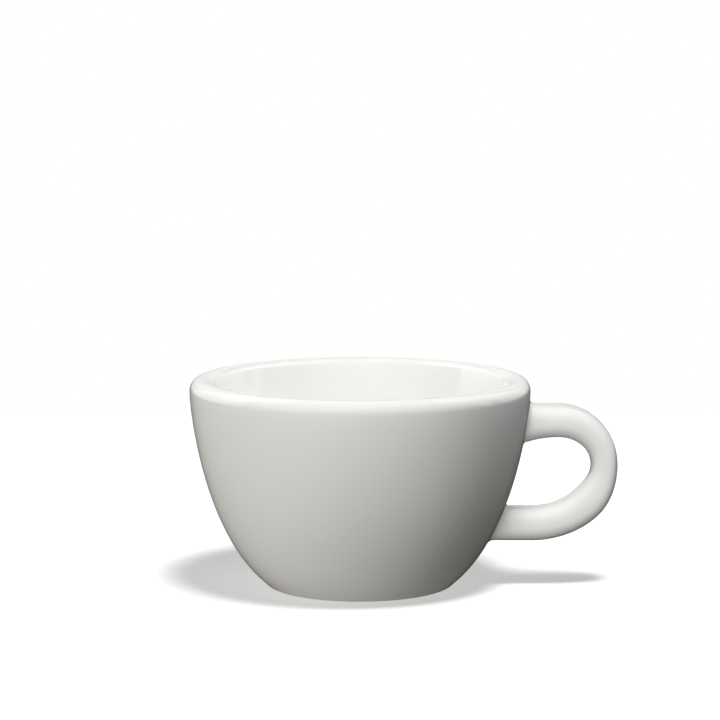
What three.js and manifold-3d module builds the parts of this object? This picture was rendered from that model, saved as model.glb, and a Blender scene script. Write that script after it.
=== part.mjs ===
// Cappuccino cup: a thick-walled glazed porcelain bowl on a bare foot ring, with a loop handle that is
// cast by itself and stuck to the bowl with two beads of slip.
// Units are millimetres and +Z is up. The cup stands on z = 0, the handle points along +X, and the origin
// is the middle of the whole outline on the standing plane.

import * as THREE from "three";
import { mergeVertices } from "three/addons/utils/BufferGeometryUtils.js";
import Module from "manifold-3d";

const wasm = await Module();
wasm.setup();

// Bowl: overall sizes
const RIM_DIAMETER = 93;
const CUP_HEIGHT = 57;
const FLOOR_HEIGHT = 8; // standing plane to the lowest point inside

// Bowl: outer wall, one curve from the foot ring up to the lip
const WALL_FOOT_DIAMETER = 55.1; // where the wall leaves the foot ring
const WALL_FOOT_SLOPE = THREE.MathUtils.degToRad(42.6); // above the table, at the foot ring
const WALL_FOOT_PULL = 21.2; // how far the wall keeps to that slope before it turns up
const WALL_LIP_PULL = 5; // how far the wall hangs plumb below the lip

// Bowl: lip, two ovals that meet at its crest
const LIP_OUTER_HEIGHT = 3.35;
const LIP_OUTER_WIDTH = 3;
const LIP_INNER_HEIGHT = 1.6;
const LIP_INNER_WIDTH = 3.3;

// Bowl: inner wall, slanted inwards under the lip and rounded into the floor
const INNER_WALL_SLANT = THREE.MathUtils.degToRad(11); // from plumb, where it leaves the lip
const INNER_WALL_PULL = 32; // how far the wall keeps to that slant before it turns in
const INNER_FLOOR_PULL = 35;

// Foot ring: rolled outer side, flat unglazed land, bevelled inner side round a domed recess
const FOOT_RING_HEIGHT = 2.2;
const FOOT_ROLL_RADIUS = 2; // between the wall's slope and the table
const FOOT_LAND_WIDTH = 2.8;
const FOOT_INNER_BEVEL = 1.2;
const UNDERSIDE_DOME = 0.8;

// Handle: centreline of the loop, in the plane y = 0
const HANDLE_REACH = 70.5; // bowl axis to the outer face of the loop
const UPPER_ARM_BELOW_RIM = 11.65;
const UPPER_ARM_HEIGHT = CUP_HEIGHT - UPPER_ARM_BELOW_RIM;
const LOWER_ARM_HEIGHT = 16.85;
const UPPER_BEND_DROP = 12.35;
const LOOP_WAIST_HEIGHT = UPPER_ARM_HEIGHT - UPPER_BEND_DROP; // where the loop reaches furthest out
const UPPER_BEND_RUN = 12.8;
const LOWER_BEND_RUN = 19.8;
const UPPER_ROOT_DROP = 0.6; // the upper arm dips a little as it swells into the bowl
const ROOT_STRAIGHT = 2; // the arms keep their section for this length before the wall

// Handle: oval section, as thickness in the plane of the loop by width across it
const UPPER_ROOT_THICKNESS = 10.6;
const UPPER_ARM_THICKNESS = 9.1;
const WAIST_THICKNESS = 7.3;
const LOWER_ARM_THICKNESS = 9.4;
const ARM_WIDTH = 10.6;
const WAIST_WIDTH = 9.8;
const WAIST_TAPER_ABOVE = 20; // length of loop over which the section thins towards the waist
const WAIST_TAPER_BELOW = 12.5; // and thickens again below it

// Slip beads: fillets of fired slip between the handle's ends and the wall
const SLIP_BEAD = 1.2; // thickness of the bead and radius of its fillet
const SEAT_GAP = 0.3; // clearance of a bead to the wall and to the handle
const BEAD_ROOT = 1.5; // how deep a bead is built into the wall before the wall is cut away

// Facets
const TURN_FACETS = 64;
const WALL_STEPS = 18;
const LIP_STEPS = 6;
const UNDERSIDE_STEPS = 4;
const HANDLE_SIDES = 20;
const ARM_STEPS = 6;
const BEND_STEPS = 18;
const BEAD_STEPS = 5;

const RIM_RADIUS = RIM_DIAMETER / 2;
const WALL_FOOT_RADIUS = WALL_FOOT_DIAMETER / 2;
const LIP_BASE_HEIGHT = CUP_HEIGHT - LIP_OUTER_HEIGHT;
const LIP_CREST_RADIUS = RIM_RADIUS - LIP_OUTER_WIDTH;
const MOUTH_HEIGHT = CUP_HEIGHT - LIP_INNER_HEIGHT;
const AXIS_TO_ORIGIN = (HANDLE_REACH - RIM_RADIUS) / 2;

// The outer wall as a curve of radius and height, from the foot ring to the lip.
const outerWall = new THREE.CubicBezierCurve(
  new THREE.Vector2(WALL_FOOT_RADIUS, FOOT_RING_HEIGHT),
  new THREE.Vector2(
    WALL_FOOT_RADIUS + WALL_FOOT_PULL * Math.cos(WALL_FOOT_SLOPE),
    FOOT_RING_HEIGHT + WALL_FOOT_PULL * Math.sin(WALL_FOOT_SLOPE),
  ),
  new THREE.Vector2(RIM_RADIUS, LIP_BASE_HEIGHT - WALL_LIP_PULL),
  new THREE.Vector2(RIM_RADIUS, LIP_BASE_HEIGHT),
);

// The foot ring's outer side runs on down the wall's slope and rolls under to the table.
const footRollHeight = FOOT_ROLL_RADIUS * (1 - Math.cos(WALL_FOOT_SLOPE));
const footSlopeRun = (FOOT_RING_HEIGHT - footRollHeight) / Math.tan(WALL_FOOT_SLOPE);
const landOuterRadius = WALL_FOOT_RADIUS - footSlopeRun - FOOT_ROLL_RADIUS * Math.sin(WALL_FOOT_SLOPE);
const landInnerRadius = landOuterRadius - FOOT_LAND_WIDTH;
const recessRadius = landInnerRadius - FOOT_INNER_BEVEL;

// A closed mesh as a solid: vertices that share a place are merged first.
function solidOf(geometry) {
  const bare = geometry.clone();
  bare.deleteAttribute("normal");
  bare.deleteAttribute("uv");
  const merged = mergeVertices(bare);
  return new wasm.Manifold(
    new wasm.Mesh({
      numProp: 3,
      vertProperties: merged.getAttribute("position").array,
      triVerts: new Uint32Array(merged.index.array),
    }),
  );
}

// A solid as a flat-shaded geometry.
function geometryOf(solid) {
  const mesh = solid.getMesh();
  const geometry = new THREE.BufferGeometry();
  geometry.setAttribute("position", new THREE.BufferAttribute(mesh.vertProperties, 3));
  geometry.setIndex(new THREE.BufferAttribute(mesh.triVerts, 1));
  geometry.computeVertexNormals();
  return geometry;
}

// A profile of radius and height turned about Z. The profile runs anticlockwise round its material.
function turned(profile) {
  return new THREE.LatheGeometry(profile, TURN_FACETS).rotateX(Math.PI / 2);
}

// Rings of points, all with the same count, joined by strips and closed with a fan at each end.
function lofted(rings) {
  const sides = rings[0].length;
  const last = (rings.length - 1) * sides;
  const points = [...rings.flat(), centreOf(rings[0]), centreOf(rings.at(-1))];
  const startCap = points.length - 2;
  const endCap = points.length - 1;
  const faces = [];
  for (let side = 0; side < sides; side++) {
    const next = (side + 1) % sides;
    for (let row = 0; row < last; row += sides) {
      faces.push(row + side, row + next, row + sides + next);
      faces.push(row + side, row + sides + next, row + sides + side);
    }
    faces.push(startCap, next, side);
    faces.push(endCap, last + side, last + next);
  }
  return new THREE.BufferGeometry().setFromPoints(points).setIndex(faces);
}

function centreOf(ring) {
  return ring.reduce((sum, point) => sum.add(point), new THREE.Vector3()).divideScalar(ring.length);
}

// Bowl
function bowlProfile() {
  const lipOutside = new THREE.EllipseCurve(
    LIP_CREST_RADIUS, LIP_BASE_HEIGHT, LIP_OUTER_WIDTH, LIP_OUTER_HEIGHT, 0, Math.PI / 2,
  );
  // The inner oval stops short of plumb, where its side has the inner wall's slant.
  const lipTurn = Math.atan((LIP_INNER_HEIGHT / LIP_INNER_WIDTH) * Math.tan(INNER_WALL_SLANT));
  const lipInside = new THREE.EllipseCurve(
    LIP_CREST_RADIUS, MOUTH_HEIGHT, LIP_INNER_WIDTH, LIP_INNER_HEIGHT, Math.PI / 2, Math.PI - lipTurn,
  );
  const mouth = lipInside.getPoint(1);
  const innerWall = new THREE.CubicBezierCurve(
    mouth,
    new THREE.Vector2(
      mouth.x - INNER_WALL_PULL * Math.sin(INNER_WALL_SLANT),
      mouth.y - INNER_WALL_PULL * Math.cos(INNER_WALL_SLANT),
    ),
    new THREE.Vector2(INNER_FLOOR_PULL, FLOOR_HEIGHT),
    new THREE.Vector2(0, FLOOR_HEIGHT),
  );
  const underside = new THREE.QuadraticBezierCurve(
    new THREE.Vector2(0, FOOT_RING_HEIGHT + UNDERSIDE_DOME),
    new THREE.Vector2(recessRadius / 2, FOOT_RING_HEIGHT + UNDERSIDE_DOME),
    new THREE.Vector2(recessRadius, FOOT_RING_HEIGHT),
  );
  return [
    ...underside.getPoints(UNDERSIDE_STEPS),
    ...outerWall.getPoints(WALL_STEPS),
    ...lipOutside.getPoints(LIP_STEPS).slice(1),
    ...lipInside.getPoints(LIP_STEPS).slice(1),
    ...innerWall.getPoints(WALL_STEPS).slice(1),
  ];
}

// Foot ring
function footRingProfile() {
  const start = -Math.PI / 2;
  const roll = new THREE.EllipseCurve(
    landOuterRadius, FOOT_ROLL_RADIUS, FOOT_ROLL_RADIUS, FOOT_ROLL_RADIUS, start, start + WALL_FOOT_SLOPE,
  );
  const profile = [
    new THREE.Vector2(recessRadius, FOOT_RING_HEIGHT),
    new THREE.Vector2(landInnerRadius, 0),
    ...roll.getPoints(UNDERSIDE_STEPS),
    new THREE.Vector2(WALL_FOOT_RADIUS, FOOT_RING_HEIGHT),
  ];
  return [...profile, profile[0].clone()];
}

// Everything inside the outer wall grown outwards by a distance, as a solid. It trims what meets the wall.
function wallGrownBy(distance) {
  const grown = [];
  for (let step = 0; step <= WALL_STEPS; step++) {
    const share = step / WALL_STEPS;
    const tangent = outerWall.getTangent(share);
    const outward = new THREE.Vector2(tangent.y, -tangent.x);
    grown.push(outerWall.getPoint(share).addScaledVector(outward, distance));
  }
  const bottom = new THREE.Vector2(0, grown[0].y);
  const top = new THREE.Vector2(0, grown.at(-1).y);
  return solidOf(turned([bottom, ...grown, top]));
}

// Distance of a point from the outer wall, positive outside it, and the wall's outward direction there.
function wallAt(point) {
  const place = new THREE.Vector2(Math.hypot(point.x, point.y), point.z);
  let low = 0;
  let high = 1;
  for (let pass = 0; pass < 40; pass++) {
    const share = (low + high) / 2;
    const beyond = place.clone().sub(outerWall.getPoint(share)).dot(outerWall.getTangent(share));
    if (beyond > 0) low = share;
    else high = share;
  }
  const tangent = outerWall.getTangent(low);
  const distance = place.sub(outerWall.getPoint(low)).dot(new THREE.Vector2(tangent.y, -tangent.x));
  const around = Math.atan2(point.y, point.x);
  const outward = new THREE.Vector3(
    tangent.y * Math.cos(around), tangent.y * Math.sin(around), -tangent.x,
  );
  return { distance, outward };
}

// Radius of the outer wall at a height.
function wallRadiusAt(height) {
  let low = 0;
  let high = 1;
  for (let pass = 0; pass < 40; pass++) {
    const share = (low + high) / 2;
    if (outerWall.getPoint(share).y < height) low = share;
    else high = share;
  }
  return outerWall.getPoint(low).x;
}

// Handle: the loop's centreline, as a path of x and z from the upper root to the lower one
const upperRootHeight = UPPER_ARM_HEIGHT - UPPER_ROOT_DROP;
const upperRoot = new THREE.Vector2(wallRadiusAt(upperRootHeight), upperRootHeight);
const lowerRoot = new THREE.Vector2(wallRadiusAt(LOWER_ARM_HEIGHT), LOWER_ARM_HEIGHT);
const waistReach = HANDLE_REACH - WAIST_THICKNESS / 2;

// Section of the loop at a length past its waist, negative towards the upper arm.
function sectionAt(past) {
  const taper = past < 0 ? WAIST_TAPER_ABOVE : WAIST_TAPER_BELOW;
  const armThickness = past < 0 ? UPPER_ARM_THICKNESS : LOWER_ARM_THICKNESS;
  const away = Math.min(Math.abs(past) / taper, 1);
  const full = (1 - Math.cos(Math.PI * away)) / 2;
  return {
    thickness: THREE.MathUtils.lerp(WAIST_THICKNESS, armThickness, full),
    width: THREE.MathUtils.lerp(WAIST_WIDTH, ARM_WIDTH, full),
  };
}

// One oval ring of the handle, square to the direction of the loop.
function handleRing(centre, direction, thickness, width) {
  const ring = [];
  for (let side = 0; side < HANDLE_SIDES; side++) {
    const angle = (2 * Math.PI * side) / HANDLE_SIDES;
    const inPlane = (thickness / 2) * Math.cos(angle);
    const across = (-width / 2) * Math.sin(angle);
    ring.push(
      new THREE.Vector3(centre.x - direction.y * inPlane, across, centre.y + direction.x * inPlane),
    );
  }
  return ring;
}

function handleRings() {
  const rings = [];
  const outwards = new THREE.Vector2(1, 0);
  const inwards = new THREE.Vector2(-1, 0);
  const upperBendStart = waistReach - UPPER_BEND_RUN;
  const upperStraightEnd = upperRoot.x + ROOT_STRAIGHT;
  const upperBend = new THREE.EllipseCurve(
    upperBendStart, LOOP_WAIST_HEIGHT, UPPER_BEND_RUN, UPPER_ARM_HEIGHT - LOOP_WAIST_HEIGHT,
    Math.PI / 2, 0, true, 0,
  );
  const lowerBend = new THREE.EllipseCurve(
    waistReach - LOWER_BEND_RUN, LOOP_WAIST_HEIGHT, LOWER_BEND_RUN, LOOP_WAIST_HEIGHT - LOWER_ARM_HEIGHT,
    0, -Math.PI / 2, true, 0,
  );

  // Upper arm: a straight root, then a swell that eases into the bend
  const buried = new THREE.Vector2(upperRoot.x - BEAD_ROOT, upperRoot.y);
  rings.push(handleRing(buried, outwards, UPPER_ROOT_THICKNESS, ARM_WIDTH));
  const bendStart = sectionAt(-upperBend.getLength());
  for (let step = 0; step < ARM_STEPS; step++) {
    const share = step / ARM_STEPS;
    const eased = 1 - (1 - share) ** 2;
    const centre = new THREE.Vector2(
      THREE.MathUtils.lerp(upperStraightEnd, upperBendStart, share),
      THREE.MathUtils.lerp(upperRootHeight, UPPER_ARM_HEIGHT, eased),
    );
    const thickness = THREE.MathUtils.lerp(UPPER_ROOT_THICKNESS, bendStart.thickness, eased);
    const width = THREE.MathUtils.lerp(ARM_WIDTH, bendStart.width, eased);
    rings.push(handleRing(centre, outwards, thickness, width));
  }

  // Loop: two quarter ellipses that meet at the waist
  for (let step = 0; step < BEND_STEPS; step++) {
    const share = step / BEND_STEPS;
    const { thickness, width } = sectionAt((share - 1) * upperBend.getLength());
    rings.push(handleRing(upperBend.getPointAt(share), upperBend.getTangentAt(share), thickness, width));
  }
  for (let step = 0; step <= BEND_STEPS; step++) {
    const share = step / BEND_STEPS;
    const { thickness, width } = sectionAt(share * lowerBend.getLength());
    rings.push(handleRing(lowerBend.getPointAt(share), lowerBend.getTangentAt(share), thickness, width));
  }

  // Lower arm: straight into the wall
  const lowerEnd = new THREE.Vector2(lowerRoot.x - lowerBury(), lowerRoot.y);
  rings.push(handleRing(lowerEnd, inwards, LOWER_ARM_THICKNESS, ARM_WIDTH));
  return rings;
}

// The wall leans under the lower arm, so that arm runs further in before its whole section is buried.
function lowerBury() {
  return lowerRoot.x - wallRadiusAt(LOWER_ARM_HEIGHT - LOWER_ARM_THICKNESS / 2) + BEAD_ROOT;
}

// Slip bead: a fillet that follows the wall round one root of the handle
function slipBead(root, thickness) {
  const along = new THREE.Vector2(1, 0);
  const rings = [];
  const reach = SLIP_BEAD + SEAT_GAP;
  const heights = [-BEAD_ROOT];
  for (let step = 0; step <= BEAD_STEPS; step++) {
    heights.push(SLIP_BEAD * (1 - Math.cos((Math.PI / 2) * (step / BEAD_STEPS))));
  }
  heights.push(reach);
  for (const height of heights) {
    const flare = SLIP_BEAD - THREE.MathUtils.clamp(height, 0, SLIP_BEAD);
    const spread = SLIP_BEAD - Math.sqrt(SLIP_BEAD ** 2 - flare ** 2);
    const section = handleRing(root, along, thickness, ARM_WIDTH);
    rings.push(section.map((start) => filletPoint(start, root, height, spread)));
  }
  const blank = solidOf(lofted(rings));
  return blank.intersect(wallGrownBy(SLIP_BEAD)).subtract(wallGrownBy(SEAT_GAP));
}

// The point on the arm's surface line through start that stands at a height off the wall, moved out along
// the wall by a spread.
function filletPoint(start, root, height, spread) {
  const point = start.clone();
  for (let pass = 0; pass < 30; pass++) {
    const { distance, outward } = wallAt(point);
    point.x += (height - distance) / outward.x;
  }
  const { outward } = wallAt(point);
  const away = new THREE.Vector3(0, start.y, start.z - root.y);
  away.addScaledVector(outward, -away.dot(outward)).normalize();
  return point.addScaledVector(away, spread);
}

// Materials: white glaze over everything but the foot ring's bare porcelain
function glaze() {
  return new THREE.MeshStandardMaterial({ color: "#f4f3f0", roughness: 0.12, metalness: 0 });
}

function barePorcelain() {
  return new THREE.MeshStandardMaterial({ color: "#e9e5dc", roughness: 0.7, metalness: 0 });
}

// Assembly
const cup = new THREE.Group();
cup.position.x = -AXIS_TO_ORIGIN;

function place(name, geometry, material) {
  const mesh = new THREE.Mesh(geometry, material);
  mesh.name = name;
  cup.add(mesh);
}

const handle = solidOf(lofted(handleRings())).subtract(wallGrownBy(SLIP_BEAD + SEAT_GAP));

place("bowl", turned(bowlProfile()), glaze());
place("foot_ring", turned(footRingProfile()), barePorcelain());
place("handle", geometryOf(handle), glaze());
place("upper_slip_bead", geometryOf(slipBead(upperRoot, UPPER_ROOT_THICKNESS)), glaze());
place("lower_slip_bead", geometryOf(slipBead(lowerRoot, LOWER_ARM_THICKNESS)), glaze());

export default cup;
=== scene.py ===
"""Cappuccino cup: a thick-walled white porcelain bowl with a loop handle, dressed for a studio picture."""

import bpy
import numpy as np
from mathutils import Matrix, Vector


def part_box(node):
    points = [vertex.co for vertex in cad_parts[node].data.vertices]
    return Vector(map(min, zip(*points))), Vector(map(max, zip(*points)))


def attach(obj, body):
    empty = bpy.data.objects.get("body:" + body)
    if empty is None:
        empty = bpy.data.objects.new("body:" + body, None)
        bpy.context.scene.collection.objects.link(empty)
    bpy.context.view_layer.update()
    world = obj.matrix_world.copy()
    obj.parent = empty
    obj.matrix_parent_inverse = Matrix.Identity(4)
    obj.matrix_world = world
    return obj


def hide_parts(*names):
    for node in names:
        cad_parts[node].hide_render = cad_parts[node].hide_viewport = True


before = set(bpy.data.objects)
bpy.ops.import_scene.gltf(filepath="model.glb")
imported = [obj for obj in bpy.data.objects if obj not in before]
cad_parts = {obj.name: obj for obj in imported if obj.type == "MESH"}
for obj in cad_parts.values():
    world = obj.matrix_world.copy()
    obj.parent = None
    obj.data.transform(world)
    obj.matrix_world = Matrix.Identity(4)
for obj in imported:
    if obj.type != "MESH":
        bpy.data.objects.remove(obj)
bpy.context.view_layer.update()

# Camera
# A long lens square to the handle's loop, a little above the rim and tipped down, so that the mouth shows
# as a thin oval. It is placed from the bowl's axis.
bowl_low, bowl_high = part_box("bowl")
axis_x = (bowl_low[0] + bowl_high[0]) / 2
camera_back = 0.8111
camera_height = 0.1691
camera_dip = np.radians(7.529)

camera = bpy.data.objects.new("camera", bpy.data.cameras.new("camera"))
camera.data.sensor_width = 36
camera.data.lens = 150
camera.location = (axis_x, -camera_back, camera_height)
camera.rotation_euler = (np.pi / 2 - camera_dip, 0, 0)
bpy.context.scene.collection.objects.link(camera)
bpy.context.scene.camera = camera
bpy.context.scene.view_settings.view_transform = "Standard"


# Studio
# A pale board in an even white surround. The softbox overhead lights the board alone and makes the one
# shadow; the others light the bowl alone or the handle alone. Cards and black felt, which only the glaze's
# reflections see, draw the pale and dark strips inside the cup.
mm = 0.001
cup_middle = np.array([axis_x, 0, 30 * mm])
board_lit = bpy.data.collections.new("board_lit")
bowl_lit = bpy.data.collections.new("bowl_lit")
handle_lit = bpy.data.collections.new("handle_lit")


def towards(azimuth, elevation):
    """Unit vectors away from the cup: the azimuth turns from the camera's side to the right, and the
    elevation rises from level."""
    azimuth, elevation = np.radians(azimuth), np.radians(elevation)
    level = np.cos(elevation)
    return np.stack([np.sin(azimuth) * level, -np.cos(azimuth) * level, np.sin(elevation)], -1)


def softbox(name, lights, azimuth, elevation, watts, distance=1.1, size=0.4):
    """A square lamp that faces the cup. It lights one collection and doesn't show in the glaze."""
    lamp = bpy.data.objects.new(name, bpy.data.lights.new(name, "AREA"))
    lamp.location = cup_middle + towards(azimuth, elevation) * distance
    lamp.rotation_euler = (np.radians(90 - elevation), 0, np.radians(azimuth))
    lamp.data.size = size
    lamp.data.energy = watts
    lamp.visible_glossy = False
    lamp.light_linking.receiver_collection = lights
    bpy.context.scene.collection.objects.link(lamp)


softbox("overhead_softbox", board_lit, 26, 73.5, 14.2, distance=0.95, size=0.26)

# The bowl is lit from the left, low down, and from high in front. Two lamps behind fill its inside.
softbox("key_softbox", bowl_lit, -45, 6, 3.4)
softbox("fill_softbox", bowl_lit, -20, 28, 1.9)
softbox("front_softbox", bowl_lit, 0, 62, 4.4)
softbox("right_softbox", bowl_lit, 45, 60, 4.5)
softbox("edge_softbox", bowl_lit, 90, 8, 0.3)
softbox("back_right_softbox", bowl_lit, 135, 45, 4.2)
softbox("back_left_softbox", bowl_lit, -135, 30, 5.4)

# The handle is lit from the front and from above, so that its upper side is paler than its face. A lamp
# behind does the same for its back.
softbox("handle_front_softbox", handle_lit, 0, 6, 1.9)
softbox("handle_left_softbox", handle_lit, -20, 20, 3.2)
softbox("handle_high_softbox", handle_lit, 0, 35, 2.4)
softbox("handle_steep_softbox", handle_lit, 0, 65, 5.0)
softbox("handle_right_softbox", handle_lit, 80, 20, 1.6)
softbox("handle_top_softbox", handle_lit, 90, 82, 1.6)
softbox("handle_back_softbox", handle_lit, 180, 20, 6.0)


def linear(hex_colour):
    """sRGB hex to linear RGBA: each channel over 255, then the sRGB curve undone."""
    channels = [int(hex_colour[i : i + 2], 16) / 255 for i in (1, 3, 5)]
    return [c / 12.92 if c <= 0.04045 else ((c + 0.055) / 1.055) ** 2.4 for c in channels] + [1]


def add_node(tree, kind, settings=None, inputs=None):
    """A node with its settings, and with each input set to a value or linked from another node's output."""
    node = tree.nodes.new(kind)
    for key, value in (settings or {}).items():
        setattr(node, key, value)
    for key, value in (inputs or {}).items():
        if isinstance(value, bpy.types.NodeSocket):
            tree.links.new(value, node.inputs[key])
        else:
            node.inputs[key].default_value = value
    return node


def seen_rays(tree):
    """One for camera, glossy and transmission rays, and none for the rays that carry bounced light."""
    ray = add_node(tree, "ShaderNodeLightPath")
    mirrored = add_node(
        tree,
        "ShaderNodeMath",
        {"operation": "MAXIMUM"},
        {0: ray.outputs["Is Glossy Ray"], 1: ray.outputs["Is Transmission Ray"]},
    )
    seen = add_node(
        tree,
        "ShaderNodeMath",
        {"operation": "MAXIMUM"},
        {0: ray.outputs["Is Camera Ray"], 1: mirrored.outputs[0]},
    )
    return seen.outputs[0]


# White surround: it is seen, by itself and in the glaze, and it throws no light on the cup.
world = bpy.data.worlds.new("white_surround")
world.use_nodes = True
tree = world.node_tree
tree.nodes.clear()
surround = add_node(
    tree, "ShaderNodeBackground", inputs={"Color": (1, 1, 1, 1), "Strength": seen_rays(tree)}
)
add_node(tree, "ShaderNodeOutputWorld", inputs={"Surface": surround.outputs[0]})
bpy.context.scene.world = world


def stage_piece(name, points, faces, material):
    """A plain mesh that belongs to the studio and not to the cup."""
    piece = bpy.data.objects.new(name, bpy.data.meshes.new(name))
    piece.data.from_pydata(points.tolist(), [], faces)
    piece.data.materials.append(material)
    bpy.context.scene.collection.objects.link(piece)
    return piece


# Matt card: white where the lamp falls, with a glow of its own that sets how grey the shadow is. What it
# throws up on the cup is a little warm and fades from the left to the right. It lies a hair below the foot.
board_half = 0.32
board_drop = 0.05 * mm
shadow_glow = 0.485
bounce_reach = 0.1
bounce_strength = 0.6

board = bpy.data.materials.new("pale_floor_board")
board.use_nodes = True
tree = board.node_tree
tree.nodes.clear()
matt = add_node(tree, "ShaderNodeBsdfDiffuse", inputs={"Color": linear("#c8c8c8")})
own_glow = add_node(tree, "ShaderNodeEmission", inputs={"Strength": shadow_glow})
shown = add_node(tree, "ShaderNodeAddShader", inputs={0: matt.outputs[0], 1: own_glow.outputs[0]})
board_place = add_node(tree, "ShaderNodeTexCoord")
board_axes = add_node(tree, "ShaderNodeSeparateXYZ", inputs={0: board_place.outputs["Object"]})
fade = add_node(
    tree,
    "ShaderNodeMapRange",
    inputs={
        "Value": board_axes.outputs["X"],
        "From Min": axis_x - bounce_reach,
        "From Max": axis_x + bounce_reach,
        "To Min": bounce_strength,
        "To Max": 0.0,
    },
)
bounce = add_node(
    tree, "ShaderNodeEmission", inputs={"Color": linear("#fffaf0"), "Strength": fade.outputs[0]}
)
board_surface = add_node(
    tree, "ShaderNodeMixShader", inputs={0: seen_rays(tree), 1: bounce.outputs[0], 2: shown.outputs[0]}
)
add_node(tree, "ShaderNodeOutputMaterial", inputs={"Surface": board_surface.outputs[0]})

corners = np.array([[-1, -1, 0], [1, -1, 0], [1, 1, 0], [-1, 1, 0]]) * board_half
floor = stage_piece("floor", corners + [axis_x, 0, -board_drop], [[0, 1, 2, 3]], board)
floor.visible_glossy = False
board_lit.objects.link(floor)

dome_radius = 1.5
card_rows = 13
card_columns = 49


def mirrored_card(name, azimuths, elevations, strength):
    """A patch of a dome round the cup that only the glaze's reflections see, between two azimuths and two
    elevations. It glows with a strength, and without one it is black felt."""
    card = bpy.data.materials.new(name)
    card.use_nodes = True
    card.node_tree.nodes.clear()
    glow = add_node(card.node_tree, "ShaderNodeEmission", inputs={"Strength": strength})
    add_node(card.node_tree, "ShaderNodeOutputMaterial", inputs={"Surface": glow.outputs[0]})
    azimuth, elevation = np.meshgrid(
        np.linspace(*azimuths, card_columns), np.linspace(*elevations, card_rows)
    )
    points = cup_middle + towards(azimuth, elevation).reshape(-1, 3) * dome_radius
    index = np.arange(card_rows * card_columns).reshape(card_rows, card_columns)
    quads = np.stack([index[:-1, :-1], index[:-1, 1:], index[1:, 1:], index[1:, :-1]], -1)
    piece = stage_piece(name, points, quads.reshape(-1, 4).tolist(), card)
    piece.visible_camera = False
    piece.visible_diffuse = False
    piece.visible_shadow = False


mirrored_card("ground_felt", (0, 360), (-90, 0), 0.0)
mirrored_card("front_felt", (-90, 90), (0, 90), 0.0)
mirrored_card("roof_felt", (90, 270), (62, 90), 0.0)
mirrored_card("back_felt", (150, 210), (25, 62), 0.0)
mirrored_card("back_card", (150, 210), (0, 25), 0.6)
mirrored_card("right_card", (90, 98), (0, 62), 1.45)
mirrored_card("right_felt", (98, 107), (0, 62), 0.0)
mirrored_card("left_card", (-115, -90), (0, 62), 1.4)


# Bowl
# The body of the cup: white porcelain pressed on a turning mould, fired, dipped in glaze and fired again.
# Its wall leaves the foot at a slant, turns up to plumb and ends in a fat round lip. The floor is thick.
rim_radius = (bowl_high[0] - bowl_low[0]) / 2
cup_height = bowl_high[2]
foot_ring_height = bowl_low[2]
foot_low, foot_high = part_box("foot_ring")
wall_foot_radius = (foot_high[0] - foot_low[0]) / 2
wall_foot_slope = np.radians(42.6)
wall_foot_pull = 21.2 * mm
wall_lip_pull = 5 * mm
lip_outside = np.array([3, 3.35]) * mm
lip_inside = np.array([3.3, 1.6]) * mm
inner_wall_slant = np.radians(11)
inner_wall_pull = 32 * mm
inner_floor_pull = 35 * mm
floor_height = 8 * mm
recess_radius = 20.38 * mm
underside_dome = 0.8 * mm

lip_crest_radius = rim_radius - lip_outside[0]
lip_base_height = cup_height - lip_outside[1]
mouth_height = cup_height - lip_inside[1]
lip_turn = np.arctan(lip_inside[1] / lip_inside[0] * np.tan(inner_wall_slant))
mouth_edge = np.array([lip_crest_radius, mouth_height]) + lip_inside * [-np.cos(lip_turn), np.sin(lip_turn)]
foot_direction = np.array([np.cos(wall_foot_slope), np.sin(wall_foot_slope)])
inner_direction = np.array([np.sin(inner_wall_slant), np.cos(inner_wall_slant)])

wall_foot = np.array([wall_foot_radius, foot_ring_height])
wall_controls = np.array(
    [
        wall_foot,
        wall_foot + wall_foot_pull * foot_direction,
        [rim_radius, lip_base_height - wall_lip_pull],
        [rim_radius, lip_base_height],
    ]
)
inner_controls = np.array(
    [
        mouth_edge,
        mouth_edge - inner_wall_pull * inner_direction,
        [inner_floor_pull, floor_height],
        [0, floor_height],
    ]
)


def bezier(controls, t):
    """Cubic curve: the four control points, each weighted by its binomial share of t and 1 - t."""
    t = np.asarray(t)[..., None]
    a, b, c, d = controls
    return (1 - t) ** 3 * a + 3 * (1 - t) ** 2 * t * b + 3 * (1 - t) * t**2 * c + t**3 * d


def oval_arc(centre, radii, start, end, count):
    """Arc of an oval: the centre plus the two radii times cosine and sine of an angle from start to end."""
    angle = np.linspace(start, end, count)
    return np.asarray(centre) + np.stack([np.cos(angle), np.sin(angle)], 1) * radii


turns = 256


def carried_round(profile):
    """Surface of revolution: a profile of radius and height at each of a row of angles about the axis."""
    angle = np.arange(turns) * 2 * np.pi / turns
    radius = profile[:, :1]
    x = axis_x + radius * np.cos(angle)
    y = radius * np.sin(angle)
    z = np.broadcast_to(profile[:, 1:], x.shape)
    return np.stack([x, y, z], -1)


crease_angle = np.radians(35)


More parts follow.
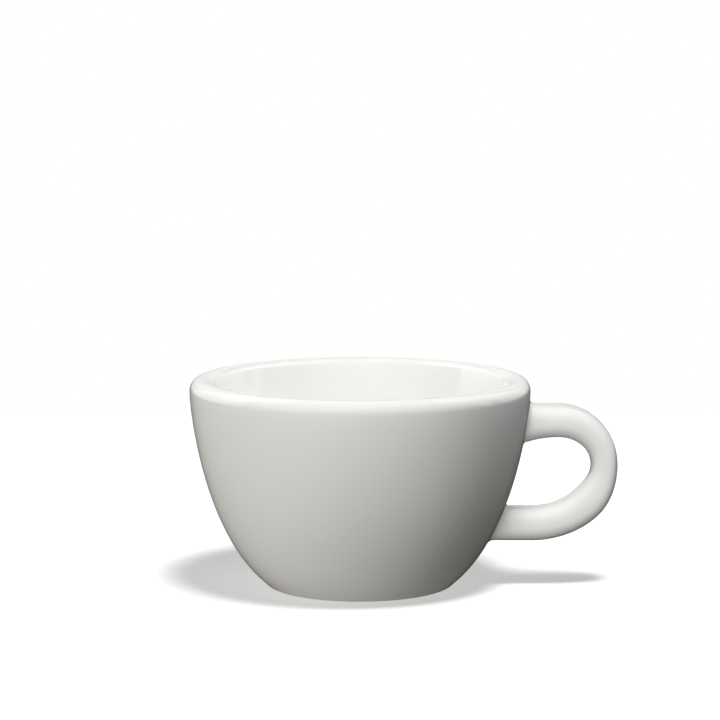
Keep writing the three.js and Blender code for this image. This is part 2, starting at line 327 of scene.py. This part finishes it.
def skin(name, grid, capped):
    """Mesh of a grid whose columns close on themselves. A capped grid ends in a fan at each end of its
    rows; otherwise its last row joins its first. Faces run along the columns first, so they point to the
    right of the rows."""
    rows, columns = grid.shape[:2]
    index = np.arange(rows * columns).reshape(rows, columns)
    points = grid.reshape(-1, 3)
    lower = index[:-1] if capped else index
    upper = index[1:] if capped else np.roll(index, -1, 0)
    quads = np.stack([lower, np.roll(lower, -1, 1), np.roll(upper, -1, 1), upper], -1).reshape(-1, 4)
    faces = quads.tolist()
    if capped:
        points = np.concatenate([points, grid[:1].mean(1), grid[-1:].mean(1)])
        first, last = index[0], index[-1]
        start = np.full(columns, len(points) - 2)
        end = np.full(columns, len(points) - 1)
        faces += np.stack([start, np.roll(first, -1), first], -1).tolist()
        faces += np.stack([end, last, np.roll(last, -1)], -1).tolist()
    mesh = bpy.data.meshes.new(name)
    mesh.from_pydata(points.tolist(), [], faces)
    mesh.polygons.foreach_set("use_smooth", np.ones(len(faces), bool))
    mesh.update()
    mesh.set_sharp_from_angle(angle=crease_angle)
    piece = bpy.data.objects.new(name, mesh)
    bpy.context.scene.collection.objects.link(piece)
    return piece


lip_rows = 18

# The rows stop just short of the axis, under the cup and inside it, and a fan closes each of the poles.
underside_start = 0.02
inner_floor_end = 0.995

share = np.linspace(underside_start, 1, 24)
underside = np.stack([recess_radius * share, foot_ring_height + underside_dome * (1 - share**2)], 1)
ledge = np.linspace([recess_radius, foot_ring_height], wall_foot, 6)
bowl_profile = np.concatenate(
    [
        underside,
        ledge[1:-1],
        bezier(wall_controls, np.linspace(0, 1, 64)),
        oval_arc((lip_crest_radius, lip_base_height), lip_outside, 0, np.pi / 2, lip_rows)[1:],
        oval_arc((lip_crest_radius, mouth_height), lip_inside, np.pi / 2, np.pi - lip_turn, lip_rows)[1:],
        bezier(inner_controls, np.linspace(0, inner_floor_end, 72))[1:],
    ]
)
bowl = skin("porcelain_bowl", carried_round(bowl_profile), capped=True)

# Glazed hotel porcelain: a glassy coat over a white body. It gives clear, low mirror images, a slight
# waviness where the glaze ran, and a trace of warm body colour at the lip, where it draws thin.
glaze_ior = 1.52
glaze_run = 14 * mm
glaze_run_depth = 0.006 * mm
glaze_peel = 1.6 * mm
glaze_peel_depth = 0.0006 * mm
thin_glaze_depth = 0.9 * mm

glaze = bpy.data.materials.new("white_glazed_porcelain")
glaze.use_nodes = True
tree = glaze.node_tree
tree.nodes.clear()
glaze_place = add_node(tree, "ShaderNodeTexCoord")
glaze_axes = add_node(tree, "ShaderNodeSeparateXYZ", inputs={0: glaze_place.outputs["Object"]})
run = add_node(
    tree,
    "ShaderNodeTexNoise",
    inputs={
        "Vector": glaze_place.outputs["Object"],
        "Scale": 1 / glaze_run,
        "Detail": 2.0,
        "Roughness": 0.5,
    },
)
peel = add_node(
    tree,
    "ShaderNodeTexNoise",
    inputs={"Vector": glaze_place.outputs["Object"], "Scale": 1 / glaze_peel, "Detail": 1.0},
)
tint = add_node(
    tree,
    "ShaderNodeMix",
    {"data_type": "RGBA"},
    {0: run.outputs[0], "A": linear("#f7f7f5"), "B": linear("#f4f4f1")},
)
thin = add_node(
    tree,
    "ShaderNodeMapRange",
    {"interpolation_type": "SMOOTHSTEP"},
    {
        "Value": glaze_axes.outputs["Z"],
        "From Min": cup_height - thin_glaze_depth,
        "From Max": cup_height,
        "To Min": 0.0,
        "To Max": 1.0,
    },
)
coat = add_node(
    tree,
    "ShaderNodeMix",
    {"data_type": "RGBA"},
    {0: thin.outputs[0], "A": tint.outputs["Result"], "B": linear("#f3f1ec")},
)
gloss = add_node(
    tree, "ShaderNodeMapRange", inputs={"Value": peel.outputs[0], "To Min": 0.03, "To Max": 0.08}
)
waves = add_node(tree, "ShaderNodeBump", inputs={"Height": run.outputs[0], "Distance": glaze_run_depth})
ripple = add_node(
    tree,
    "ShaderNodeBump",
    inputs={"Height": peel.outputs[0], "Distance": glaze_peel_depth, "Normal": waves.outputs[0]},
)
glassy = add_node(
    tree,
    "ShaderNodeBsdfPrincipled",
    inputs={
        "Base Color": coat.outputs["Result"],
        "Roughness": gloss.outputs[0],
        "IOR": glaze_ior,
        "Normal": ripple.outputs[0],
    },
)
add_node(tree, "ShaderNodeOutputMaterial", inputs={"Surface": glassy.outputs[0]})
bowl.data.materials.append(glaze)
bowl_lit.objects.link(bowl)
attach(bowl, "root")
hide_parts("bowl")

# Foot ring
# The ring that the cup stands on, pressed with the bowl. Its outer side carries the glaze; the flat land is
# wiped clean before firing, so the bare body shows there, dull and a little warm.
foot_roll_radius = 2 * mm
foot_land_width = 2.8 * mm
roll_height = foot_roll_radius * (1 - np.cos(wall_foot_slope))
slope_run = (foot_ring_height - roll_height) / np.tan(wall_foot_slope)
land_outer_radius = wall_foot_radius - slope_run - foot_roll_radius * np.sin(wall_foot_slope)
land_inner_radius = land_outer_radius - foot_land_width

ring_profile = np.concatenate(
    [
        np.linspace([recess_radius, foot_ring_height], [land_inner_radius, 0], 8),
        np.linspace([land_inner_radius, 0], [land_outer_radius, 0], 8)[1:],
        oval_arc(
            (land_outer_radius, foot_roll_radius),
            (foot_roll_radius, foot_roll_radius),
            -np.pi / 2,
            -np.pi / 2 + wall_foot_slope,
            12,
        )[1:],
        wall_foot[None],
    ]
)
foot_ring = skin("foot_ring_skin", carried_round(ring_profile), capped=False)

# Half-glazed porcelain: the glaze stops in a wavering line just above the land. Below it the biscuit shows,
# a matt, faintly warm body with a fine grit that gives no reflection.
glaze_line = 0.35 * mm
glaze_line_blur = 0.1 * mm
glaze_line_wander = 0.3 * mm
wander_length = 5 * mm
grit_size = 0.25 * mm
grit_depth = 0.03 * mm

biscuit = bpy.data.materials.new("porcelain_with_bare_land")
biscuit.use_nodes = True
tree = biscuit.node_tree
tree.nodes.clear()
ring_place = add_node(tree, "ShaderNodeTexCoord")
ring_axes = add_node(tree, "ShaderNodeSeparateXYZ", inputs={0: ring_place.outputs["Object"]})
waver = add_node(
    tree,
    "ShaderNodeTexNoise",
    inputs={"Vector": ring_place.outputs["Object"], "Scale": 1 / wander_length, "Detail": 3.0},
)
shift = add_node(
    tree,
    "ShaderNodeMapRange",
    inputs={"Value": waver.outputs[0], "To Min": -glaze_line_wander, "To Max": glaze_line_wander},
)
above = add_node(
    tree, "ShaderNodeMath", {"operation": "ADD"}, {0: ring_axes.outputs["Z"], 1: shift.outputs[0]}
)
bare = add_node(
    tree,
    "ShaderNodeMapRange",
    {"interpolation_type": "SMOOTHSTEP"},
    {
        "Value": above.outputs[0],
        "From Min": glaze_line - glaze_line_blur,
        "From Max": glaze_line + glaze_line_blur,
        "To Min": 1.0,
        "To Max": 0.0,
    },
)
grit = add_node(
    tree,
    "ShaderNodeTexNoise",
    inputs={"Vector": ring_place.outputs["Object"], "Scale": 1 / grit_size, "Detail": 3.0},
)
bare_body = add_node(
    tree,
    "ShaderNodeMix",
    {"data_type": "RGBA"},
    {0: grit.outputs[0], "A": linear("#e9e3d8"), "B": linear("#dcd4c6")},
)
ring_colour = add_node(
    tree,
    "ShaderNodeMix",
    {"data_type": "RGBA"},
    {0: bare.outputs[0], "A": linear("#f6f6f3"), "B": bare_body.outputs["Result"]},
)
dullness = add_node(
    tree, "ShaderNodeMapRange", inputs={"Value": bare.outputs[0], "To Min": 0.05, "To Max": 0.85}
)
rough_land = add_node(
    tree,
    "ShaderNodeBump",
    inputs={"Strength": bare.outputs[0], "Height": grit.outputs[0], "Distance": grit_depth},
)
half_glazed = add_node(
    tree,
    "ShaderNodeBsdfPrincipled",
    inputs={
        "Base Color": ring_colour.outputs["Result"],
        "Roughness": dullness.outputs[0],
        "IOR": glaze_ior,
        "Normal": rough_land.outputs[0],
    },
)
add_node(tree, "ShaderNodeOutputMaterial", inputs={"Surface": half_glazed.outputs[0]})
foot_ring.data.materials.append(biscuit)
bowl_lit.objects.link(foot_ring)
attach(foot_ring, "root")
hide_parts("foot_ring")

# Handle
# A loop cast by itself in a two-part plaster mould, trimmed to the wall and stuck on. Its section is a full
# oval, thickest at the arms and drawn in at the outer waist. It takes the bowl's glaze.
handle_low, handle_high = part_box("handle")
handle_reach = handle_high[0] - axis_x
arm_width = handle_high[1] - handle_low[1]
waist_width = 9.8 * mm
upper_root_thickness = 10.6 * mm
upper_arm_thickness = 9.1 * mm
waist_thickness = 7.3 * mm
lower_arm_thickness = 9.4 * mm
upper_arm_below_rim = 11.65 * mm
upper_arm_height = cup_height - upper_arm_below_rim
upper_root_drop = 0.6 * mm
upper_bend_drop = 12.35 * mm
loop_waist_height = upper_arm_height - upper_bend_drop
lower_arm_height = handle_low[2] + lower_arm_thickness / 2
upper_bend_run = 12.8 * mm
lower_bend_run = 19.8 * mm
waist_taper_above = 20 * mm
waist_taper_below = 12.5 * mm
root_depth = 1.5 * mm
fullness = 2.6
handle_sides = 96
bend_steps = 80


def wall_radius_at(height):
    """Radius of the outer wall at a height, read off the wall's curve."""
    curve = bezier(wall_controls, np.linspace(0, 1, 2001))
    return np.interp(height, curve[:, 1], curve[:, 0])


def oval_sections(centres, directions, thicknesses, widths):
    """A tube of full ovals: at each centre, half the thickness times cosine along the in-plane normal, and
    half the width times sine across the loop, each raised to two over the fullness with its sign kept."""
    angle = np.arange(handle_sides) * 2 * np.pi / handle_sides
    wave = np.stack([np.cos(angle), np.sin(angle)])
    along, across = np.sign(wave) * np.abs(wave) ** (2 / fullness)
    in_plane = thicknesses[:, None] / 2 * along
    x = axis_x + centres[:, :1] - directions[:, 1:] * in_plane
    y = -widths[:, None] / 2 * across
    z = centres[:, 1:] + directions[:, :1] * in_plane
    return np.stack([x, y, z], -1)


def waist_section(past, arm_thickness, taper):
    """Thickness and width at a length past the waist: a half wave of cosine takes them from the waist's to
    the arm's."""
    full = (1 - np.cos(np.pi * np.clip(past / taper, 0, 1))) / 2
    thickness = waist_thickness + (arm_thickness - waist_thickness) * full
    return thickness, waist_width + (arm_width - waist_width) * full


waist_reach = handle_reach - waist_thickness / 2
upper_root_height = upper_arm_height - upper_root_drop
upper_root_x = wall_radius_at(upper_root_height)
lower_root_x = wall_radius_at(lower_arm_height)
lower_root_end = wall_radius_at(lower_arm_height - lower_arm_thickness / 2) - root_depth


def quarter_loop(run, rise, turn):
    """Quarter oval from the waist to an arm, in even steps of length: its points, the directions along the
    handle and the lengths from the waist. The turn is 1 for the upper quarter and -1 for the lower."""
    fine = np.linspace(0, np.pi / 2, 400)
    steps = np.hypot(run * np.diff(np.cos(fine)), rise * np.diff(np.sin(fine)))
    length = np.concatenate([[0], np.cumsum(steps)])
    past = np.linspace(0, length[-1], bend_steps)
    angle = np.interp(past, length, fine)
    out = waist_reach - run + run * np.cos(angle)
    up = loop_waist_height + turn * rise * np.sin(angle)
    directions = np.stack([turn * run * np.sin(angle), -rise * np.cos(angle)], 1)
    directions /= np.linalg.norm(directions, axis=1, keepdims=True)
    return np.stack([out, up], 1), directions, past


upper_points, upper_directions, upper_past = quarter_loop(
    upper_bend_run, upper_arm_height - loop_waist_height, 1
)
lower_points, lower_directions, lower_past = quarter_loop(
    lower_bend_run, loop_waist_height - lower_arm_height, -1
)
upper_thickness, upper_width = waist_section(upper_past, upper_arm_thickness, waist_taper_above)
lower_thickness, lower_width = waist_section(lower_past, lower_arm_thickness, waist_taper_below)

upper_arm_end = waist_reach - upper_bend_run
lower_arm_end = waist_reach - lower_bend_run


def upper_arm(run):
    """Height and thickness of the upper arm's section at a run out from the wall: both ease from the root's
    to the arm's as one minus the square of the share that is left."""
    left = 1 - np.clip(run / (upper_arm_end - upper_root_x), 0, 1)
    eased = 1 - left**2
    height = upper_root_height + upper_root_drop * eased
    return height, upper_root_thickness + (upper_thickness[-1] - upper_root_thickness) * eased


upper_x = np.linspace(upper_root_x - root_depth, upper_arm_end, 43)[:-1]
upper_heights, upper_swell = upper_arm(upper_x - upper_root_x)
upper_arm_points = np.stack([upper_x, upper_heights], 1)
outwards = np.broadcast_to([1.0, 0.0], upper_arm_points.shape)

lower_x = np.linspace(lower_arm_end, lower_root_end, 31)[1:]
lower_arm_points = np.stack([lower_x, np.full(lower_x.shape, lower_arm_height)], 1)
inwards = np.broadcast_to([-1.0, 0.0], lower_arm_points.shape)

handle_grid = oval_sections(
    np.concatenate([upper_arm_points, upper_points[::-1], lower_points[1:], lower_arm_points]),
    np.concatenate([outwards, upper_directions[::-1], lower_directions[1:], inwards]),
    np.concatenate(
        [
            upper_swell,
            upper_thickness[::-1],
            lower_thickness[1:],
            np.full(lower_x.shape, lower_arm_thickness),
        ]
    ),
    np.concatenate(
        [
            np.full(upper_x.shape, upper_width[-1]),
            upper_width[::-1],
            lower_width[1:],
            np.full(lower_x.shape, arm_width),
        ]
    ),
)
handle = skin("loop_handle", handle_grid, capped=True)
handle.data.materials.append(glaze)
handle.visible_glossy = False
handle_lit.objects.link(handle)
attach(handle, "root")
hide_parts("handle")

# Slip beads
# Liquid clay that sticks the handle's two ends to the wall. It squeezes out as they are pressed on, is
# wiped with a sponge into a small round fillet, and disappears under the glaze.
slip_bead = 1.2 * mm
curve_step = 1e-5
halvings = 40
follow_passes = 12
settle_passes = 3


def wall_at(points):
    """Signed distance of points from the outer wall, and the wall's outward normals there: the nearest
    place on the wall's curve is found by halving, where the offset from the curve is square to its
    tangent."""
    radius = np.hypot(points[..., 0] - axis_x, points[..., 1])
    profile_point = np.stack([radius, points[..., 2]], -1)
    low = np.zeros(radius.shape)
    high = np.ones(radius.shape)
    for _ in range(halvings):
        middle = (low + high) / 2
        on_curve = bezier(wall_controls, middle)
        ahead = bezier(wall_controls, middle + curve_step) - on_curve
        beyond = ((profile_point - on_curve) * ahead).sum(-1) > 0
        low = np.where(beyond, middle, low)
        high = np.where(beyond, high, middle)
    on_curve = bezier(wall_controls, low)
    tangent = bezier(wall_controls, low + curve_step) - on_curve
    tangent /= np.linalg.norm(tangent, axis=-1, keepdims=True)
    outward = np.stack([tangent[..., 1], -tangent[..., 0]], -1)
    distance = ((profile_point - on_curve) * outward).sum(-1)
    around = np.stack([points[..., 0] - axis_x, points[..., 1]], -1) / radius[..., None]
    normal = np.concatenate([around * outward[..., :1], outward[..., 1:]], -1)
    return distance, normal


bead_heights = slip_bead * (1 - np.cos(np.linspace(0, np.pi / 2, 20)))
bead_heights = np.concatenate([[-root_depth / 2], bead_heights])


def fillet_grid(root_x, arm_heights, thicknesses):
    """Fillet round an arm: each side line of the arm is followed to a height off the wall, and the point is
    moved out along the wall by radius minus the root of radius squared minus (radius less height) squared,
    then set back to that height."""
    middles = np.stack([np.full(arm_heights.shape, root_x), arm_heights], 1)
    along_arm = np.broadcast_to([1.0, 0.0], middles.shape)
    sections = oval_sections(middles, along_arm, thicknesses, np.full(arm_heights.shape, arm_width))
    height = bead_heights[:, None]
    left = slip_bead - np.clip(height, 0, slip_bead)
    flare = slip_bead - np.sqrt(slip_bead**2 - left**2)
    points = sections.copy()
    for _ in range(follow_passes):
        distance, normal = wall_at(points)
        points[..., 0] += (height - distance) / normal[..., 0]
    distance, normal = wall_at(points)
    away = sections - sections.mean(1, keepdims=True)
    away = away - (away * normal).sum(-1, keepdims=True) * normal
    away /= np.linalg.norm(away, axis=-1, keepdims=True)
    points = points + away * flare[..., None]
    for _ in range(settle_passes):
        distance, normal = wall_at(points)
        points = points + normal * (height - distance)[..., None]
    return points


each_row = np.ones(len(bead_heights))
upper_fillet = fillet_grid(upper_root_x, *upper_arm(bead_heights))
lower_fillet = fillet_grid(lower_root_x, lower_arm_height * each_row, lower_arm_thickness * each_row)
upper_bead = skin("upper_slip_fillet", upper_fillet, capped=True)
lower_bead = skin("lower_slip_fillet", lower_fillet, capped=True)
for bead, node in ((upper_bead, "upper_slip_bead"), (lower_bead, "lower_slip_bead")):
    bead.data.materials.append(glaze)
    bead.visible_glossy = False
    handle_lit.objects.link(bead)
    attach(bead, "root")
    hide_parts(node)
